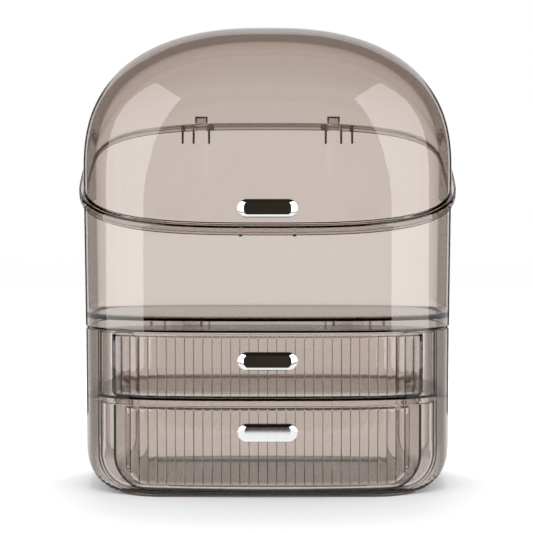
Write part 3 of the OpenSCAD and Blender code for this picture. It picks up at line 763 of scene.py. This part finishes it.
class Front:
    """A drawer's front: its outline, reeds and rounded edge."""

    def __init__(self, z0, z1, corner, reeds, field, foot, field_r, side_edge):
        self.z0, self.z1, self.corner = z0, z1, corner
        self.reeds, self.field, self.field_z, self.field_r = reeds, field, z0 + foot, field_r
        self.side_edge = side_edge

    def columns(self):
        """Places across the front, close together where it bends."""
        xs = {FRONT_HALF * k / STRIP_N for k in range(STRIP_N + 1)}
        xs |= {FRONT_HALF - self.corner * (1 - sin(radians(3 * k))) for k in range(31)}
        xs |= {FRONT_HALF - fall for fall in round_heights(0, self.side_edge, 6)}
        xs = {x for x in xs if x > self.field}
        xs |= {FRONT_HALF - FRONT_T, FRONT_HALF - FRONT_T + RETURN_STEP}
        xs |= {self.field + GROOVE_HALF * k / 4 for k in range(-4, 5)}
        reeds = {REED_W * (k + place / 2) for k in range(self.reeds // 2) for place in REED_PLACES}
        ordered = sorted(xs | {x for x in reeds if x < self.field - GROOVE_HALF})
        kept = [x for x, after in zip(ordered, ordered[1:] + [FRONT_HALF + 1]) if after - x > COLUMN_GAP]
        return [-x for x in reversed(kept) if x > 0] + kept

    def rows(self, x):
        """Heights up the front at x, the same."""
        low = self.z0 + round_fall(self.corner, FRONT_HALF - abs(x))
        high, near = self.z1, EDGE_ROWS[-1]
        middle = [low + near + (high - low - 2 * near) * (k / ROW_N) ** ROW_POWER for k in range(1, ROW_N)]
        return [low + h for h in EDGE_ROWS] + middle + [high - h for h in reversed(EDGE_ROWS)]

    def into_field(self, x, z):
        """Distance from the reeded field's outline, over 0 inside it."""
        return corner_gap(self.field - abs(x), z - self.field_z, self.field_r, self.z1 - REED_TOP - z)

    def bump(self, x, z):
        """How far the surface stands out: reeds with steep flanks, inside a narrow groove."""
        inside = self.into_field(x, z)
        if inside < -GROOVE_HALF:
            return 0
        if inside < GROOVE_HALF:
            is_deep = self.corner > REED_END or self.field - abs(x) < GROOVE_HALF
            return -(GROOVE_DEPTH if is_deep else GROOVE_FOOT) * (1 - (inside / GROOVE_HALF) ** 2)
        place = (x + self.reeds * REED_W / 2) / REED_W
        u = 2 * (place % 1) - 1
        is_end = z < self.z0 + REED_END * 4 or z > self.z1 - REED_END * 2
        v = max(0, 1 - (inside - GROOVE_HALF) / REED_END) if is_end else 0
        flank = min(1, (1 - abs(u)) / FLANK)
        rise = FLANK_HIGH * flank + CROWN * (1 - u * u)
        return FLANK_LOW * (1 - flank) + sqrt(max(0, 1 - v * v)) * rise

    def setback(self, x, z):
        """How far the rounded edge falls back."""
        near = corner_gap(FRONT_HALF - abs(x), z - self.z0, self.corner, self.z1)
        return round_fall(self.side_edge, near) + round_fall(FRONT_TOP_SOFT, self.z1 - z)

    def make(self, name):
        xs = self.columns()
        grid = [self.rows(x) for x in xs]
        front, back = [], []
        for x, zs in zip(xs, grid):
            is_flange = abs(x) > FRONT_HALF - FRONT_T + RETURN_STEP / 2
            depth = FRONT_T + (FRONT_RETURN if is_flange else 0)
            for z in zs:
                y = -plan_depth(x, FACE_IN) - self.bump(x, z) + self.setback(x, z)
                front.append((x, y, z))
                back.append((x, max(-plan_depth(x, FACE_IN + depth), y + FRONT_MIN_T), z))
        m, n = len(xs), len(grid[0])
        far = m * n
        faces = []
        for i in range(m - 1):
            for j in range(n - 1):
                a, b = i * n + j, (i + 1) * n + j
                faces.append((a, b, b + 1, a + 1))
                faces.append((far + a, far + a + 1, far + b + 1, far + b))
        border = [i * n for i in range(m)] + [(m - 1) * n + j for j in range(1, n)]
        border += [i * n + n - 1 for i in range(m - 2, -1, -1)] + [j for j in range(n - 2, 0, -1)]
        faces += [(a, far + a, far + b, b) for a, b in zip(border, border[1:] + border[:1])]
        return make_object(name, front + back, faces)


def tray_loop(inset, front_inset, z, z0, corner):
    """One loop of a tray behind its front, moved inwards by inset."""
    half, r = TRAY_HALF - inset, TRAY_R - inset
    bulge = TRAY_R * (1 - cos(radians(45)))
    back = plan_depth(TRAY_HALF - bulge, CAB_IN + WALL + BACK_GAP) + bulge - inset
    back -= round_fall(TRAY_BACK_R - inset, z - z0)
    xs = [-half + 2 * half * i / TRAY_FRONT_N for i in range(TRAY_FRONT_N + 1)]
    points = [(x, -plan_depth(x, front_inset)) for x in xs]
    start, run = points[-1][1], back - r - points[-1][1]
    turns = [radians(90 * k / QUARTER_N) for k in range(QUARTER_N + 1)]
    points += [(half, start + run * k / TRAY_SIDE_N) for k in range(1, TRAY_SIDE_N)]
    points += [(half - r + r * cos(t), back - r + r * sin(t)) for t in turns]
    points += [(-half + r - r * sin(t), back - r + r * cos(t)) for t in turns]
    points += [(-half, back - r - run * k / TRAY_SIDE_N) for k in range(1, TRAY_SIDE_N)]
    limit = half - round_fall(corner, z - z0)
    return [(copysign(min(abs(x), limit), x), y, z) for x, y in points]


def make_drawer(name, front, corner):
    """The tray behind the front, and the front, as one moulding."""
    z0, top = front.z0, front.z1 - TRAY_DROP
    middle = TRAY_SOFT * ROUND_MID
    ins = [FACE_IN + depth for depth in TRAY_INS]

    def heights(low, inset):
        r = TRAY_BACK_R - inset
        rounds = set(round_heights(low, r, CORNER_N))
        if corner < r:
            rounds |= set(round_heights(low, corner, 3))
        return sorted(rounds) + [low + r + (top - TRAY_SOFT - low - r) * k / 3 for k in (1, 2, 3)]

    r_in = max(corner - TRAY_WALL, TRAY_MIN_R)
    low_in = z0 + TRAY_FLOOR
    outside = [tray_loop(0, ins[0], z, z0, corner) for z in heights(z0, 0)]
    rim = [tray_loop(middle, ins[1], top - middle, z0, corner),
           tray_loop(TRAY_SOFT, ins[2], top, z0, corner),
           tray_loop(TRAY_WALL - TRAY_SOFT, ins[3], top, low_in, r_in),
           tray_loop(TRAY_WALL - middle, ins[4], top - middle, low_in, r_in)]
    inside = [tray_loop(TRAY_WALL, ins[5], z, low_in, r_in) for z in reversed(heights(low_in, TRAY_WALL))]
    tray = loft(name, outside + rim + inside, z0, low_in)
    return join(tray, front.make("front"))


# Pulls

def make_pull(name, z, inset):
    """Bright pull: a stadium with a bevel up to a flat field."""
    run, r = (PULL_W - PULL_H) / 2, PULL_H / 2
    field_x = PULL_W / 2 - PULL_END_BEVEL - PULL_FIELD_R
    field_z = PULL_H / 2 - PULL_BEVEL - PULL_FIELD_R
    rise = PULL_OUT / 2
    half_y = -(CASE_B - inset) - rise
    ends = rounded_outline(run, PULL_SIDE, r, PULL_N)
    loops = [[(x, -plan_depth(x, inset - SEAT_GAP), z + up) for x, up in ends],
             [(x, half_y + PULL_SOFT, z + up) for x, up in ends]]
    for f, share in PULL_PROFILE:
        outline = rounded_outline(run + (field_x - run) * f, PULL_SIDE + (field_z - PULL_SIDE) * f,
                                  r + (PULL_FIELD_R - r) * f, PULL_N)
        loops.append([(x, half_y - rise * share, z + up) for x, up in outline])
    cap = rounded_outline(field_x, field_z, PULL_FIELD_R - PULL_CAP, PULL_N)
    return loft(name, loops + [[(x, half_y - rise, z + up) for x, up in cap]])


# Materials

# Plastic, and the scales and details of its noises
TINT, IOR = (0.46, 0.295, 0.19), 1.52
RIPPLE, RIPPLE_DEPTH, RIPPLE_NOISE = 0.012, 0.001, (45, 1)
HAZE, HAZE_NOISE = (0, 0.02), (60, 4)
# Chrome, the same
CHROME_SHADES, SHADE_NOISE = ((0, (0.84, 0.84, 0.85)), (1, (0.93, 0.93, 0.93))), (220, 3)
POLISH, POLISH_NOISE = (0.02, 0.07), (900, 5)


def new_material(name):
    material = bpy.data.materials.new(name)
    material.use_nodes = True
    nodes = material.node_tree.nodes
    return material, nodes, nodes["Principled BSDF"]


def link(source, target):
    source.id_data.links.new(source, target)


def add(nodes, kind, **values):
    """A new node with these inputs, where an underscore stands for a space."""
    node = nodes.new("ShaderNode" + kind)
    for name, value in values.items():
        node.inputs[name.replace("_", " ")].default_value = value
    return node


def noise(nodes, scale, detail, where=None):
    """Noise over the object's own coordinates, or over where."""
    texture = add(nodes, "TexNoise", Scale=scale, Detail=detail)
    link(where or add(nodes, "TexCoord").outputs["Object"], texture.inputs["Vector"])
    return texture.outputs["Fac"]


def colour_ramp(nodes, value, stops):
    """A ramp with the given positions and colours."""
    ramp = add(nodes, "ValToRGB")
    elements = ramp.color_ramp.elements
    elements[0].position, elements[0].color = stops[0][0], (*stops[0][1], 1)
    elements[1].position, elements[1].color = stops[-1][0], (*stops[-1][1], 1)
    for position, colour in stops[1:-1]:
        elements.new(position).color = (*colour, 1)
    link(value, ramp.inputs["Fac"])
    return ramp.outputs["Color"]


def rough_noise(nodes, shader, look, low, high):
    level = add(nodes, "MapRange", To_Min=low, To_Max=high)
    link(noise(nodes, *look), level.inputs["Value"])
    link(level.outputs[0], shader.inputs["Roughness"])


def reckon(nodes, how, first, second):
    """One sum on a socket and another socket or a number."""
    step = add(nodes, "Math")
    step.operation = how
    link(first, step.inputs[0])
    if isinstance(second, (int, float)):
        step.inputs[1].default_value = second
    else:
        link(second, step.inputs[1])
    return step.outputs[0]


# Painted shade: what the plastic lets through, darkened by its slant to the view, darkest just inside its
# outlines
SLANT_SHADE_LINE = (0.1, 0.085, 0.08)
SLANT_SHADE_OUTLINE, SLANT_SHADE_GRAZING = (0.8, 0.79, 0.78), (0.9, 0.9, 0.9)
SHADE_SLANTS = ((0.76, (1, 1, 1)), (0.82, SLANT_SHADE_LINE), (0.93, SLANT_SHADE_LINE), (0.97, SLANT_SHADE_OUTLINE), (1, SLANT_SHADE_GRAZING))
DRAWER_SHADE_SLANTS = ((0.6, (1, 1, 1)), (0.72, SLANT_SHADE_LINE), (0.84, SLANT_SHADE_LINE), (0.9, SLANT_SHADE_OUTLINE), (1, SLANT_SHADE_GRAZING))
# The cabinet's sides get a deeper painted shade
CABINET_SHADE_SLANTS = ((0.38, (1, 1, 1)), (0.5, (0.42, 0.38, 0.355)), (0.58, (0.16, 0.135, 0.12)),
                  (0.68, (0.16, 0.135, 0.12)), (0.8, (0.5, 0.48, 0.47)), (0.93, (0.3, 0.28, 0.27)),
                  (1, (0.85, 0.85, 0.85)))
# Slants that paint shade on the rim's band and the hinges, the foot, the lid's lower edge, and the dark
# lines
BAND_SHADE_SLANTS = ((0, (0.72, 0.68, 0.66)), (0.5, (0.6, 0.56, 0.54)), (1, (0.4, 0.36, 0.34)))
FOOT_SHADE_SLANTS = ((0, (0.3, 0.25, 0.22)), (1, (0.15, 0.12, 0.1)))
LID_EDGE_SHADE_SLANTS = ((0, (0.16, 0.14, 0.13)), (0.5, (0.12, 0.1, 0.09)), (1, (0.08, 0.07, 0.06)))
SHADE_LINE_SLANTS = ((0, (0.03, 0.025, 0.02)), (1, (0.02, 0.015, 0.012)))
# Copies of one smoked plastic, each with its density and painted shade slants; the darker copies paint shade
# on parts and lines
SHADED_PLASTICS = {
    "case": (155, SHADE_SLANTS), "cabinet": (150, CABINET_SHADE_SLANTS), "shade_band": (200, BAND_SHADE_SLANTS),
    "edge": (235, LID_EDGE_SHADE_SLANTS), "lid": (250, SHADE_SLANTS), "drawers": (145, DRAWER_SHADE_SLANTS),
    "dark": (235, SHADE_LINE_SLANTS), "plates": (200, SHADE_SLANTS), "pins": (320, SHADE_SLANTS), "foot": (400, FOOT_SHADE_SLANTS)}


def smoked_plastic(name, density, shade_slants):
    """Clear smoked plastic: absorption in the volume, painted shade on edges seen at a slant, a faint ripple
    and slight haze.
    """
    material, nodes, shader = new_material(name)
    slant = add(nodes, "LayerWeight", Blend=0.5).outputs["Facing"]
    link(colour_ramp(nodes, slant, shade_slants), shader.inputs["Base Color"])
    shader.inputs["Transmission Weight"].default_value = 1
    shader.inputs["IOR"].default_value = IOR
    rough_noise(nodes, shader, HAZE_NOISE, *HAZE)
    bump = add(nodes, "Bump", Strength=RIPPLE, Distance=RIPPLE_DEPTH)
    link(noise(nodes, *RIPPLE_NOISE), bump.inputs["Height"])
    link(bump.outputs[0], shader.inputs["Normal"])
    volume = add(nodes, "VolumeAbsorption", Color=(*TINT, 1), Density=density)
    link(volume.outputs[0], nodes["Material Output"].inputs["Volume"])
    return material


def chrome(name):
    """Bright plating with faint polishing marks."""
    material, nodes, shader = new_material(name)
    shader.inputs["Metallic"].default_value = 1
    shade = colour_ramp(nodes, noise(nodes, *SHADE_NOISE), CHROME_SHADES)
    link(shade, shader.inputs["Base Color"])
    rough_noise(nodes, shader, POLISH_NOISE, *POLISH)
    return material


def glow_material(name, colour=(1, 1, 1), strength=1):
    """A material that only glows, with its nodes and the node that glows."""
    material, nodes, shader = new_material(name)
    glow = add(nodes, "Emission", Color=(*colour, 1), Strength=strength)
    link(glow.outputs[0], nodes["Material Output"].inputs["Surface"])
    return material, nodes, glow


# Studio

# How often light may turn or pass, and how often it may be mirrored
BOUNCES, GLOSSY_BOUNCES = 40, 12
FLOOR_HALF = 6000
# Share of the floor that glows white by itself, for the camera
FLOOR_GLOW = 0.1
# What the background shows after light was turned back 0 to 4 times in the plastic, because such
# light comes from dark parts
BACK_LEVELS = (1, 0.88, 0.68, 0.5, 0.3)
# Softboxes: distance, direction, and corners as distance along an upright plane and height
BOX_AWAY, BOX_TURN = 1100, radians(60)
BOX_CORNERS = ((-425, 5), (-435, 208), (-541, 299), (-656, 456), (-863, 846),
               (-223, 1191), (107, 853), (256, 601), (337, 358), (402, 213), (447, 5))
BOX_COLOUR, BOX_LIGHT = (1, 0.985, 0.97), 3.6
# The dark studio round the camera's side: radius, height, how far round it reaches from the front,
# where its floor ends, how high that floor lies, and steps round it
ROOM_R, ROOM_H, ROOM_TURN = 2300, 2600, radians(138)
ROOM_FLOOR_Y, ROOM_UP, ROOM_N = -490, 1, 48
ROOM_SHADES = ((0.4, (0.008, 0.007, 0.006)), (0.7, (0.06, 0.045, 0.035)))
ROOM_STRETCH, ROOM_NOISE = (0.4, 0.4, 2.5), (1.5, 2)
# The dark flags behind the object: inner and outer edge, how far back they stand, height and glow
FLAG_IN, FLAG_OUT, FLAG_Y, FLAG_H, FLAG_LIGHT = 270, 390, 400, 460, 0.01
# Lamps: place and target in metres, size and power; the first stands on both sides
SIDE_LAMP = ((1, -0.6, 0.8), (0, 0, 0.1), 0.9, 1.5)
TOP_LAMP = ((0, 0.7, 1.6), (0, 0, 0), 0.8, 13)


def make_camera():
    data = bpy.data.cameras.new("camera")
    data.lens = LENS_MM
    data.sensor_width = SENSOR_MM
    camera = bpy.data.objects.new("camera", data)
    camera.location = CAMERA_AT
    camera.rotation_euler = (pi / 2 - CAMERA_TILT, 0, 0)
    bpy.context.scene.collection.objects.link(camera)
    bpy.context.scene.camera = camera


def background_level(nodes):
    """1 for the camera, off metal and straight through plastic; less for light turned back inside it."""
    path = add(nodes, "LightPath").outputs
    turned = reckon(nodes, "MULTIPLY", path["Glossy Depth"], path["Is Transmission Ray"])
    last = len(BACK_LEVELS) - 1
    stops = [(i / last, (level, level, level)) for i, level in enumerate(BACK_LEVELS)]
    return colour_ramp(nodes, reckon(nodes, "DIVIDE", turned, last), stops)


def floor_material():
    """White for what the camera, glass and metal see, with the object's faint shadow."""
    material, nodes, shader = new_material("floor_white")
    shader.inputs["Base Color"].default_value = (0.99, 0.99, 0.99, 1)
    shader.inputs["Roughness"].default_value = 1
    shader.inputs["Specular IOR Level"].default_value = 0
    glow = add(nodes, "Emission")
    link(background_level(nodes), glow.inputs["Strength"])
    path = add(nodes, "LightPath").outputs
    seen = reckon(nodes, "MAXIMUM", path["Is Glossy Ray"], path["Is Transmission Ray"])
    mix = add(nodes, "MixShader")
    link(reckon(nodes, "MAXIMUM", seen, FLOOR_GLOW), mix.inputs[0])
    link(shader.outputs[0], mix.inputs[1])
    link(glow.outputs[0], mix.inputs[2])
    link(mix.outputs[0], nodes["Material Output"].inputs["Surface"])
    return material


def make_stage():
    half = FLOOR_HALF
    floor = make_object("floor", [(-half, -half, 0), (half, -half, 0), (half, half, 0), (-half, half, 0)],
                        [(0, 1, 2, 3)])
    floor.data.materials.append(floor_material())
    world = bpy.data.worlds.new("studio")
    bpy.context.scene.world = world
    world.use_nodes = True
    nodes = world.node_tree.nodes
    back = nodes["Background"].inputs
    back["Color"].default_value = (1, 1, 1, 1)
    link(background_level(nodes), back["Strength"])


def hide(item, *rays):
    for kind in rays:
        setattr(item, "visible_" + kind, False)


def glossy_card(name, points, faces, material):
    """What only reflections show."""
    card = make_object(name, points, faces)
    card.data.materials.append(material)
    hide(card, "camera", "diffuse", "transmission", "volume_scatter", "shadow")


def softbox_card(side):
    """The bright panel that the lid and the case mirror on one side."""
    away = Vector((sin(BOX_TURN), -cos(BOX_TURN), 0))
    along = Vector((-away.y, away.x, 0))
    points = []
    for s, z in BOX_CORNERS:
        p = away * BOX_AWAY + along * s
        points.append((side * p.x, p.y, z))
    glossy_card("softbox_card_" + side_name(side), points, [tuple(range(len(points)))],
                glow_material("softbox_glow", BOX_COLOUR, BOX_LIGHT)[0])


def dark_material():
    """Near black with soft brown bands, for bright metal to mirror."""
    material, nodes, glow = glow_material("studio_dark")
    stretch = add(nodes, "Mapping", Scale=ROOM_STRETCH)
    link(add(nodes, "TexCoord").outputs["Object"], stretch.inputs["Vector"])
    bands = noise(nodes, *ROOM_NOISE, where=stretch.outputs[0])
    link(colour_ramp(nodes, bands, ROOM_SHADES), glow.inputs["Color"])
    return material


def dark_room():
    """Wall, ceiling and floor of the dark studio."""
    turns = [-ROOM_TURN + 2 * ROOM_TURN * k / ROOM_N for k in range(ROOM_N + 1)]
    ring = [(ROOM_R * sin(t), -ROOM_R * cos(t)) for t in turns]
    points = [(x, y, z) for z in (ROOM_UP, ROOM_H) for x, y in ring]
    n = len(ring)
    faces = [(k, k + 1, n + k + 1, n + k) for k in range(n - 1)]
    faces.append(tuple(range(n, 2 * n)))
    side = sqrt(ROOM_R ** 2 - ROOM_FLOOR_Y ** 2)
    front = [(x, y) for x, y in ring if y < ROOM_FLOOR_Y]
    front = [(-side, ROOM_FLOOR_Y)] + front + [(side, ROOM_FLOOR_Y)]
    faces.append(tuple(range(len(points), len(points) + len(front))))
    glossy_card("dark_room", points + [(x, y, ROOM_UP) for x, y in front], faces, dark_material())


def dark_flag(side):
    """A dark panel behind one side, for the plastic's grazing reflections."""
    corners = ((FLAG_IN, 1), (FLAG_OUT, 1), (FLAG_OUT, FLAG_H), (FLAG_IN, FLAG_H))
    points = [(side * x, FLAG_Y, z) for x, z in corners]
    glossy_card("dark_flag_" + side_name(side), points, [(0, 1, 2, 3)],
                glow_material("flag_dark", strength=FLAG_LIGHT)[0])


def lamp(name, place, target, size, power):
    data = bpy.data.lights.new(name, "AREA")
    data.shape = "RECTANGLE"
    data.size = data.size_y = size
    data.energy = power
    light = bpy.data.objects.new(name, data)
    light.location = place
    light.rotation_euler = (Vector(target) - Vector(place)).to_track_quat("-Z", "Y").to_euler()
    hide(light, "camera", "glossy", "transmission")
    bpy.context.scene.collection.objects.link(light)


def make_lights():
    (x, y, z), *settings = SIDE_LAMP
    for side in (-1, 1):
        softbox_card(side)
        dark_flag(side)
        lamp("lamp_" + side_name(side), (side * x, y, z), *settings)
    lamp("lamp_top", *TOP_LAMP)
    dark_room()


def make_pieces():
    smoked = {name: smoked_plastic("smoked_" + name, *look) for name, look in SHADED_PLASTICS.items()}
    # The dark, band and edge copies of the plastic paint shade on lines, edges and hinges
    plates, dark, shade_band = smoked["plates"], smoked["dark"], smoked["shade_band"]
    settle(make_foot(), "case", "smoked_plates", smoked["foot"], "foot_plate")
    settle(make_cabinet_shell(), "case", "smoked_case", smoked["cabinet"], "cabinet_shell")
    settle(make_top_plate(), "case", "smoked_plates", plates, "cabinet_top_plate",
           shade_materials=(dark,), pick_shade=is_shaded_clip_side)
    settle(make_shelf(), "case", "smoked_plates", plates, "middle_shelf",
           shade_materials=(dark,), pick_shade=is_shelf_shade_line)
    settle(make_upper_case(), "case", "smoked_case", smoked["case"], "upper_case",
           shade_materials=(dark, shade_band), pick_shade=pick_case_shade)
    for side in (-1, 1):
        settle(make_pin(side), "case", "smoked_pins", smoked["pins"], "hinge_pin_" + side_name(side))
    settle(make_lid(), "lid", "smoked_lid", smoked["lid"], "lid_dome",
           shade_materials=(smoked["edge"], shade_band), pick_shade=pick_lid_shade)
    upper = Front(UPPER_Z, UPPER_TOP_Z, UPPER_CORNER_R, UPPER_REEDS, UPPER_FIELD, REED_TOP, UPPER_FIELD_R,
                  UPPER_SOFT)
    lower = Front(LOWER_Z, LOWER_TOP_Z, LOWER_CORNER_R, LOWER_REEDS, LOWER_FIELD, REED_FOOT, LOWER_FIELD_R,
                  LOWER_SOFT)
    for body, front in (("upper_drawer", upper), ("lower_drawer", lower)):
        settle(make_drawer(body + "_fine", front, front.corner), body, "smoked_drawers", smoked["drawers"],
               body + "_tray")
    bright = chrome("chrome_pulls")
    lid_z = RIM_Z0 - CASE_B * RIM_SLOPE + LID_PULL_UP
    for where, body, z, inset in (("lid", "lid", lid_z, (DOME_Z - lid_z) * DRAFT),
                                  ("upper", "upper_drawer", UPPER_TOP_Z - UPPER_PULL_DOWN, CAB_IN),
                                  ("lower", "lower_drawer", LOWER_TOP_Z - LOWER_PULL_DOWN, CAB_IN)):
        settle(make_pull(where + "_pull_fine", z, inset), body, "chrome_pulls", bright, body + "_pull")


def main():
    scene = bpy.context.scene
    scene.view_settings.view_transform = "Standard"
    scene.cycles.max_bounces = BOUNCES
    scene.cycles.transmission_bounces = BOUNCES
    scene.cycles.glossy_bounces = GLOSSY_BOUNCES
    make_camera()
    make_stage()
    make_lights()
    make_pieces()


main()
